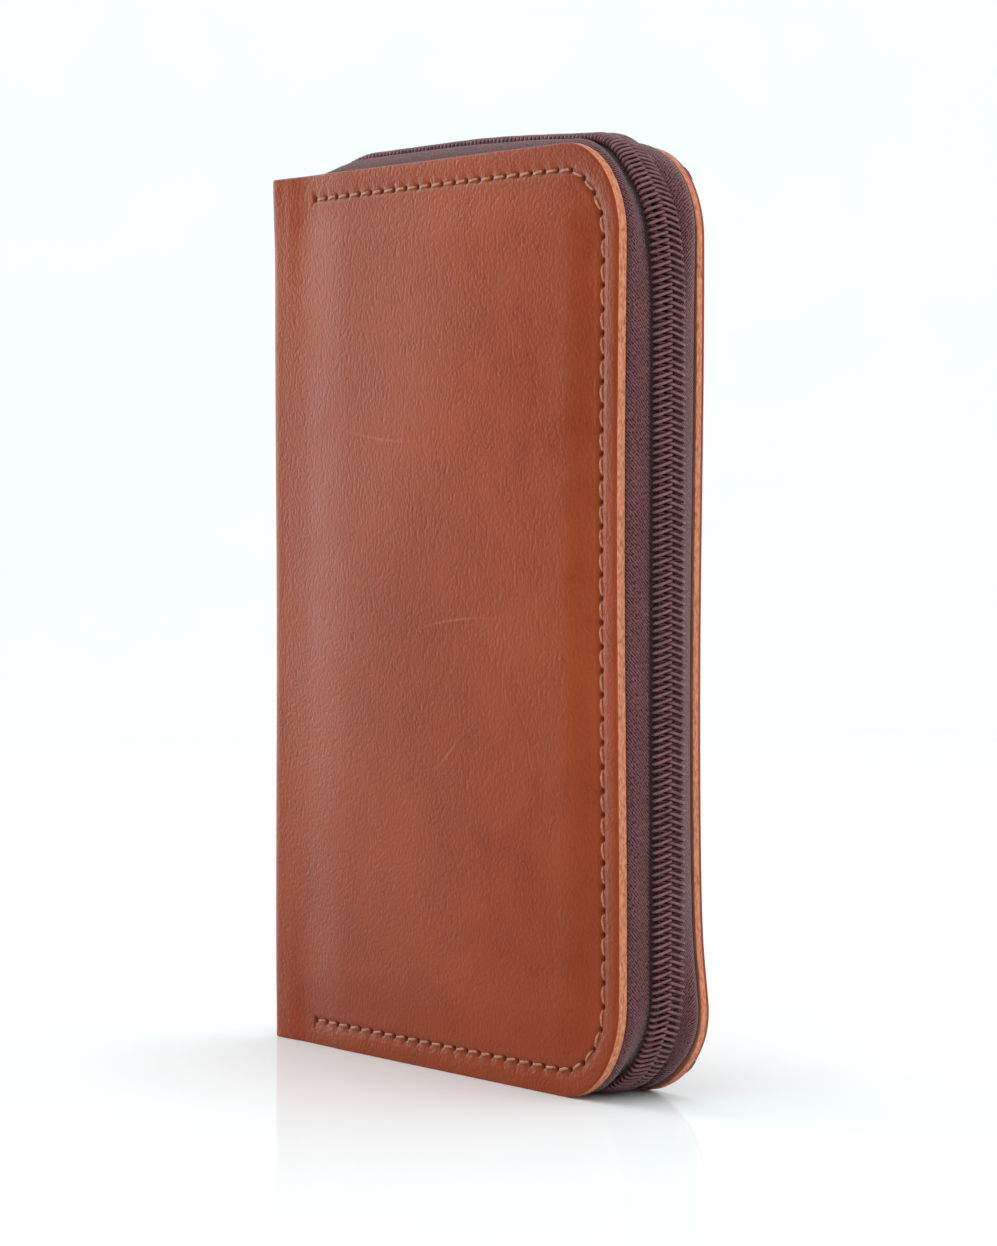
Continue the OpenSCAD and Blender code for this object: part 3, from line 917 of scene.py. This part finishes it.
FRONT_COIL_END = -32.4 * MM
BACK_COIL_END = -42.1 * MM
front_coil = wind_coil("front_coil_wire", -1, 0.0, FRONT_COIL_END)
back_coil = wind_coil("back_coil_wire", 1, 0.5, BACK_COIL_END)
front_sewing = sew_coil("front_coil_thread", -1, 0.0, FRONT_COIL_END)
back_sewing = sew_coil("back_coil_thread", 1, 0.5, BACK_COIL_END)
print("coil faces", len(front_coil.data.polygons), len(back_coil.data.polygons))

# %% [markdown]
# ## Saddle stitches
#
# A stitch is a short length of waxed cord that is pulled down into a needle hole at both ends. It is
# modelled once as a closed, three-stranded spindle of 81 faces. Then a copy is laid between each pair of
# holes and turned a little off the line, as a pricking iron slants them. The pockets use it again.


# %% Model one stitch
def model_stitch():
    bpy.ops.object.select_all(action="DESELECT")
    bpy.ops.mesh.primitive_uv_sphere_add(segments=9, ring_count=9, radius=1, location=(0, 0, 0))
    stitch = bpy.context.active_object
    for v in stitch.data.vertices:
        along = max(-1, min(1, v.co.z))
        turn = math.atan2(v.co.y, v.co.x) if math.hypot(v.co.x, v.co.y) > 1e-6 else 0
        thick = (1 - abs(along) ** 3.2) ** 0.5 if abs(along) < 0.999 else 0
        lobe = 1 + 0.14 * math.cos(3 * turn + 7 * along)
        v.co = Vector((along * 1.5, 0.23 * thick * lobe * math.cos(turn),
                       0.2 * thick * lobe * math.sin(turn) - 0.4 * abs(along) ** 3)) * MM
    face_towards(stitch, lambda p: Vector((0, 0, p.z)))
    return stitch


def copy_stitch(stitch, rule):
    """A copy of the stitch with its points (along, aside, up) put where rule says."""
    piece = copy_of(stitch)
    for v in piece.data.vertices:
        v.co = rule(*v.co)
    return piece


def join_row(name, stitch, copies):
    """Joins the copies to one row of thread and removes the stitch they were made from."""
    pick(*copies)
    bpy.ops.object.join()
    row = bpy.context.active_object
    row.name = name
    dress(row, THREAD)
    edit_all(row, bpy.ops.mesh.normals_make_consistent, inside=False)
    smooth(row, 70)
    bpy.data.objects.remove(stitch)
    return row


# %% Lay the stitches of a cover
# A stitch as modelled fills this gap between two holes.
STITCH_MODEL = 3.72 * MM


def lay_stitches(name, side, wave):
    stitch = model_stitch()
    copies = []
    up = Vector((0, side, 0))
    for k, ((s0, z0), (s1, z1)) in enumerate(zip(HOLES, HOLES[1:])):
        s, z = (s0 + s1) / 2, (z0 + z1) / 2
        gap = Vector((s1 - s0, z1 - z0))
        run = gap.normalized()
        ahead = fold_skin(s + run.x * MM, z + run.y * MM, 0, side, wave)
        middle = fold_skin(s, z, 0, side, wave)
        random.seed(k + 7)
        height = relief(s, z) + random.uniform(0.02, 0.07) * MM
        line = (ahead - middle).normalized()
        beside = up.cross(line)
        slant = math.radians(7 + random.uniform(-3, 3)) * -side
        along = line * math.cos(slant) + beside * math.sin(slant)
        aside = beside * math.cos(slant) - line * math.sin(slant)
        length = gap.length / STITCH_MODEL
        copies.append(copy_stitch(stitch, lambda x, y, lift: (
            middle + along * x * length + aside * y + up * (lift + height))))
    return join_row(name, stitch, copies)


front_thread = lay_stitches("front_cover_stitches", -1, front_edge_wave)
back_thread = lay_stitches("back_cover_stitches", 1, back_edge_wave)
print("stitches on a cover:", len(HOLES) - 1)

# %% [markdown]
# ## The cloth lining
#
# The lining is one cloth glued over the inside of the spine and turned over the stiffening boards. Like the
# leather it is made in two halves that meet in the middle of the spine. It lies on the leather round the
# fold, then steps up on to the board.

# %% Make the lining
LINING_T = 0.4 * MM
LINING_R = SPINE_R - LEATHER_T - 0.3 * MM
LINING_FOLD = LINING_R * math.pi / 2
LINING_CORNER = 12 * MM
lining_low, lining_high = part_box("back_lining")
LINING_L = FLAT_SPINE + LINING_FOLD + lining_high.x - SPINE_X - SPINE_R
LINING_LOW = lining_low.z
LINING_TALL = lining_high.z - LINING_LOW


def fold_lining(s, z, side):
    """Puts a point of the unrolled lining in the holder: on the spine, round the fold, then on the board."""
    inset = min(LINING_L - s, z, LINING_TALL - z)
    a = s - (LINING_L - LINING_CORNER)
    b = abs(z - LINING_TALL / 2) - (LINING_TALL / 2 - LINING_CORNER)
    if a > 0 and b > 0:
        inset = LINING_CORNER - math.hypot(a, b)
    if s < FLAT_SPINE:
        x, y = SPINE_X + SPINE_R - LINING_R, s
    elif s < FLAT_SPINE + LINING_FOLD:
        t = (s - FLAT_SPINE) / LINING_R
        reach = LINING_R + fold_bulge(FLAT_SPINE + t * SPINE_R, z + LINING_LOW)
        x, y = SPINE_X + SPINE_R - reach * math.cos(t), FLAT_SPINE + reach * math.sin(t)
    else:
        run = s - FLAT_SPINE - LINING_FOLD
        x = SPINE_X + SPINE_R + run
        y = FLAT_SPINE + LINING_R
        y += (lining_low.y + LINING_T / 2 - FLAT_SPINE - LINING_R) * ease(run / (4.5 * MM))
        turned = min(1, max(0, 1 - inset / (0.9 * MM)))
        y += 0.75 * MM * (1 - math.sqrt(max(0, 1 - turned * turned)))
    return Vector((x, side * y, z + LINING_LOW))


def lining_cloth(name, side):
    flat = []

    def rule(u, v):
        s, z = round_corners(u * LINING_L, v * LINING_TALL, LINING_L, LINING_TALL, LINING_CORNER)
        flat.append((s, z))
        return fold_lining(s, z, side)

    cloth = add_grid(name, 110, 130, rule)
    for loop in cloth.data.loops:
        cloth.data.uv_layers[0].data[loop.index].uv = flat[loop.vertex_index]
    face_towards(cloth, lambda p: Vector((0.2, -side, 0)))
    dress(cloth, LINING)
    modify(cloth, "SOLIDIFY", thickness=LINING_T, offset=0)
    smooth(cloth, 50)
    return cloth


front_cloth = lining_cloth("front_lining_cloth", -1)
back_cloth = lining_cloth("back_lining_cloth", 1)
print("lining", round(LINING_L, 4), "by", round(LINING_TALL, 4))

# %% [markdown]
# ## Pockets and metal from their CAD solids
#
# The pockets are flat panels of thin leather, and the slider, pin, pull and stops are small castings. Their
# CAD solids already have the right outline. A copy of each is welded, its hard edges are rounded, and
# it takes the place of the CAD node.


# %% Dress a copy of a CAD solid
def finish_copy(node, name, material, rounding):
    source = bpy.data.objects[node]
    piece = copy_of(source)
    piece.parent = None
    piece.matrix_world = source.matrix_world
    piece.name = name
    for key in list(piece.keys()):
        del piece[key]
    pick(piece)
    bpy.ops.object.transform_apply(location=True, rotation=True, scale=True)
    bpy.ops.object.mode_set(mode="EDIT")
    bpy.ops.mesh.select_all(action="SELECT")
    bpy.ops.mesh.remove_doubles(threshold=0.000002)
    bpy.ops.mesh.dissolve_limited(angle_limit=math.radians(0.5))
    bpy.ops.object.mode_set(mode="OBJECT")
    modify(piece, "BEVEL", width=rounding, segments=2, limit_method="ANGLE",
           angle_limit=math.radians(32), use_clamp_overlap=True, harden_normals=False)
    modify(piece, "TRIANGULATE")
    dress(piece, material)
    smooth(piece, 35)
    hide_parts(node)
    return piece


FRONT_POCKETS = ("slip_pocket", "card_slot_1", "card_slot_2", "card_slot_3")
pockets = [finish_copy(node, node + "_leather", POCKET, 0.12 * MM)
           for node in (*FRONT_POCKETS, "passport_sleeve")]
slider = finish_copy("slider_body", "slider_casting", BRASS, 0.12 * MM)
pin = finish_copy("slider_pin", "slider_rivet", BRASS, 0.08 * MM)
pull = finish_copy("pull_tab", "pull_plate", BRASS, 0.18 * MM)
front_stops = finish_copy("front_zip_stops", "front_stop_clips", BRASS, 0.1 * MM)
back_stops = finish_copy("back_zip_stops", "back_stop_clips", BRASS, 0.1 * MM)
for node, material in (("front_board", BOARD), ("back_board", BOARD), ("front_padding", FOAM),
                       ("back_padding", FOAM)):
    dress(bpy.data.objects[node], material)

# %% Sew the pockets
def front_pocket_y(z):
    """The inner face of the topmost front pocket at height z."""
    return max(high.y for low, high in map(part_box, FRONT_POCKETS) if z < high.z - 0.5 * MM)


def sleeve_y(z):
    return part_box("passport_sleeve")[0].y


def sew_pocket(name, lines, face_y, side):
    """Lays the stitch every 3 mm along each line ((x, z), (x, z)), on the face at face_y(z)."""
    stitch = model_stitch()
    copies = []
    up = Vector((0, -side, 0))
    for start, end in lines:
        first, run = at(*start), at(*end) - at(*start)
        count = round(run.length / (3 * MM))
        along = run.normalized()
        aside = up.cross(along)
        for k in range(count):
            middle = first + run * ((k + 0.5) / count)
            middle.y = face_y(middle.z)
            copies.append(copy_stitch(stitch, lambda x, y, lift: (
                middle + (along * x + aside * y + up * lift) * 0.8 + up * 0.02 * MM)))
    return join_row(name, stitch, copies)


SEAM_INSET = 1.8 * MM
CORNER_GAP = 7.5 * MM
END_GAP = 3 * MM
slip_low, slip_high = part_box("slip_pocket")
left, right = slip_low.x + SEAM_INSET, slip_high.x - SEAM_INSET
sleeve_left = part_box("passport_sleeve")[0].x + SEAM_INSET
foot, head = slip_low.z + SEAM_INSET, slip_high.z - SEAM_INSET
turn_x = right - 2 * END_GAP
far_seam = ((right, slip_low.z + CORNER_GAP), (right, slip_high.z - CORNER_GAP))
front_pocket_thread = sew_pocket("front_pocket_stitches", [
    ((left, slip_high.z - END_GAP), (left, foot)),
    ((left, foot), (turn_x, foot)),
    far_seam], front_pocket_y, -1)
sleeve_thread = sew_pocket("sleeve_stitches", [
    ((sleeve_left, foot), (turn_x, foot)),
    far_seam,
    ((turn_x, head), (sleeve_left, head))], sleeve_y, 1)

# %% [markdown]
# ## What moves with what
#
# The skins and linings stay where they were built, and the CAD leather and lining nodes are hidden.
# Everything else rides on one body.

# %% Bodies, nodes and slots
for side, cover, skin, cloth in ((-1, "front_cover", front_skin, front_cloth),
                                 (1, "back_cover", back_skin, back_cloth)):
    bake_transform(skin)
    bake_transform(cloth)
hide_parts("front_cover_leather", "spine_leather")
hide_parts("back_cover_leather", "spine_leather")
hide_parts("front_lining", "spine_lining")
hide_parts("back_lining", "spine_lining")

RIDES = {
    "front_cover": [(front_tape, "front_zip_tape", "zip_tape"), (front_coil, "front_zip_coil", "zip_coil"),
                    (front_sewing, "front_zip_coil", "thread"), (front_thread, "front_stitching", "thread"),
                    (front_pocket_thread, None, "thread"), (front_stops, None, "zip_metal"),
                    *((pocket, None, "pocket_leather") for pocket in pockets[:4])],
    "back_cover": [(back_tape, "back_zip_tape", "zip_tape"), (back_coil, "back_zip_coil", "zip_coil"),
                   (back_sewing, "back_zip_coil", "thread"), (back_thread, "back_stitching", "thread"),
                   (sleeve_thread, None, "thread"), (back_stops, None, "zip_metal"),
                   (pockets[4], None, "pocket_leather")],
    "slider": [(slider, None, "zip_metal"), (pin, None, "zip_metal")],
    "pull": [(pull, None, "zip_metal")],
}
for body, members in RIDES.items():
    for piece, node, slot in members:
        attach(piece, body)
        if node:
            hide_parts(node)

# %% [markdown]
# ## Floor, light and camera
#
# The holder stands on a pale, slightly glossy floor that curves up into a pale wall. A soft light on the
# left gives the broad sheen on the leather, a second one fills the zip side, and a wide panel is above.


# %% Floor and wall
def floor_material():
    material, tree, shader = new_material("Pale glossy floor", Roughness=0.02, IOR=1.045)
    place = add(tree, "ShaderNodeTexCoord").outputs["Object"]
    colour = ramp(tree, noise(tree, place, 12.0, 2.0), [(0.3, linear(243, 249, 250)),
                                                        (0.7, linear(246, 250, 251))])
    tree.links.new(colour, shader.inputs["Base Color"])
    return material


def sweep_floor():
    turn = Vector((-math.cos(math.radians(33)), math.sin(math.radians(33)), 0))
    aside = Vector((-turn.y, turn.x, 0))
    bend, far, rise = 0.5, 1.0, 2.4

    def rule(u, v):
        d = (v - 0.5) * 5 + 0.5
        x = (u - 0.5) * 8
        if d < far:
            deep, high = d, 0
        elif d < far + bend * math.pi / 2:
            a = (d - far) / bend
            deep, high = far + bend * math.sin(a), bend * (1 - math.cos(a))
        else:
            deep, high = far + bend, min(rise, bend + d - far - bend * math.pi / 2)
        return turn * deep + aside * x + Vector((0, 0, high))

    backdrop = add_grid("pale_backdrop", 8, 90, rule)
    face_towards(backdrop, lambda p: Vector((0, 0, 1)) - turn)
    dress(backdrop, floor_material())
    smooth(backdrop, 60)


sweep_floor()


# %% Lights
def soft_light(name, location, target, size, power, colour=(1, 1, 1)):
    bpy.ops.object.light_add(type="AREA", location=location)
    lamp = bpy.context.active_object
    lamp.name = name
    lamp.data.shape = "RECTANGLE"
    lamp.data.size, lamp.data.size_y = size
    lamp.data.energy = power
    lamp.data.color = colour
    lamp.rotation_euler = (Vector(target) - Vector(location)).to_track_quat("-Z", "Y").to_euler()


middle = (0, 0, HEIGHT / 2)
soft_light("left_window", (-0.885, -0.25, 0.3), middle, (0.40, 1.0), 4.0, (1.0, 0.94, 0.87))
soft_light("right_window", (0.95, 0.35, 0.5), middle, (0.6, 0.6), 1.6)
soft_light("top_panel", (0.1, -0.1, 1.2), middle, (1.4, 1.4), 1.3)


# %% Room light
DARK_SIDE = (-0.53, -0.82, 0.2)


def pale_room():
    """Even pale light all round, with one darker side that keeps part of the cover free of sheen."""
    world = bpy.data.worlds.new("Pale room")
    bpy.context.scene.world = world
    world.use_nodes = True
    tree = world.node_tree
    direction = add(tree, "ShaderNodeTexCoord").outputs["Generated"]
    away = add(tree, "ShaderNodeVectorMath", {0: direction, 1: DARK_SIDE}, operation="DOT_PRODUCT")
    level = map_range(tree, away.outputs["Value"], 0.8, 0.92, 1.1, 0.3, interpolation_type="SMOOTHSTEP")
    background = tree.nodes["Background"]
    background.inputs["Color"].default_value = (0.975, 0.99, 1.0, 1)
    tree.links.new(level, background.inputs["Strength"])


pale_room()
bpy.context.scene.view_settings.view_transform = "Standard"

# %% Camera
bpy.ops.object.camera_add(location=(0.5674, -0.3693, 0.0919))
camera = bpy.context.active_object
camera.rotation_euler = (math.radians(90 - 1.622), 0, math.radians(56.7))
camera.data.lens = 119.8
camera.data.sensor_width = 36
camera.data.clip_start = 0.01
bpy.context.scene.camera = camera
